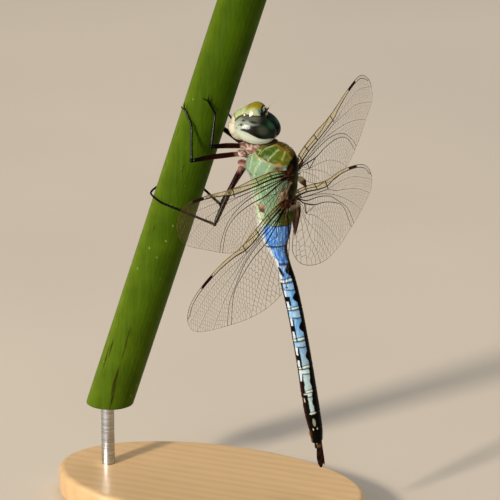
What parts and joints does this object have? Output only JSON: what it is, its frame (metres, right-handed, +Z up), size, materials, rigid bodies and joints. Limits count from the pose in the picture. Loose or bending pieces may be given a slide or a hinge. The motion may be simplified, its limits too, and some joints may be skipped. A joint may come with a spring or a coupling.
{
  "type": "common green darner dragonfly on a reed perch, life-size display model",
  "caption": "Still life-size model of a green and blue dragonfly gripping a cut reed stem, held up by an oval wooden stand with one steel rod.",
  "frame": {"origin": "centre of the oval base's flat underside", "axes": "+Z up and towards the insect's head, +X towards the insect's back, -Y towards the insect's left wings"},
  "size_m": [0.068, 0.1036, 0.1145],
  "materials": {
    "cuticle_frons": "glossy yellow-green insect cuticle",
    "cuticle_pale": "semi-gloss cream insect cuticle",
    "cuticle_brown": "satin pinkish-brown insect cuticle",
    "cuticle_green": "satin green insect cuticle with paler net marking",
    "cuticle_blue": "satin blue insect cuticle with black marking",
    "cuticle_black": "satin brown-black insect cuticle",
    "leg_chitin": "glossy black chitin, dark red at the thighs",
    "compound_eye": "very glossy compound eye, dark above and pale below",
    "wing_membrane": "clear amber-tinted membrane with dark veins",
    "reed_stem": "smooth green plant stem with fine lengthwise ribs",
    "maple_wood": "satin varnished maple",
    "steel_rod": "brushed stainless steel"
  },
  "bodies": {
    "root": {"face_frons": "cuticle_frons", "mouth": "cuticle_pale", "head_rear": "cuticle_pale", "eye_left": "compound_eye", "eye_right": "compound_eye", "antenna_left": "cuticle_black", "antenna_right": "cuticle_black", "prothorax": "cuticle_brown", "thorax": "cuticle_green", "abdomen_1": "cuticle_green", "abdomen_2": "cuticle_blue", "abdomen_3": "cuticle_blue", "abdomen_4": "cuticle_blue", "abdomen_5": "cuticle_blue", "abdomen_6": "cuticle_blue", "abdomen_7": "cuticle_blue", "abdomen_8": "cuticle_black", "abdomen_9": "cuticle_black", "abdomen_10": "cuticle_black", "cercus_left": "cuticle_black", "cercus_right": "cuticle_black", "epiproct": "cuticle_black", "forewing_left": "wing_membrane", "forewing_right": "wing_membrane", "hindwing_left": "wing_membrane", "hindwing_right": "wing_membrane", "leg_fore_left_coxa": "cuticle_brown", "leg_fore_left_femur": "leg_chitin", "leg_fore_left_tibia": "leg_chitin", "leg_fore_left_tarsus": "leg_chitin", "leg_middle_left_coxa": "cuticle_brown", "leg_middle_left_femur": "leg_chitin", "leg_middle_left_tibia": "leg_chitin", "leg_middle_left_tarsus": "leg_chitin", "leg_hind_left_coxa": "cuticle_brown", "leg_hind_left_femur": "leg_chitin", "leg_hind_left_tibia": "leg_chitin", "leg_hind_left_tarsus": "leg_chitin", "leg_fore_right_coxa": "cuticle_brown", "leg_fore_right_femur": "leg_chitin", "leg_fore_right_tibia": "leg_chitin", "leg_fore_right_tarsus": "leg_chitin", "leg_middle_right_coxa": "cuticle_brown", "leg_middle_right_femur": "leg_chitin", "leg_middle_right_tibia": "leg_chitin", "leg_middle_right_tarsus": "leg_chitin", "leg_hind_right_coxa": "cuticle_brown", "leg_hind_right_femur": "leg_chitin", "leg_hind_right_tibia": "leg_chitin", "leg_hind_right_tarsus": "leg_chitin", "perch_reed": "reed_stem", "stand_base": "maple_wood", "stand_rod": "steel_rod"}
  },
  "joints": []
}
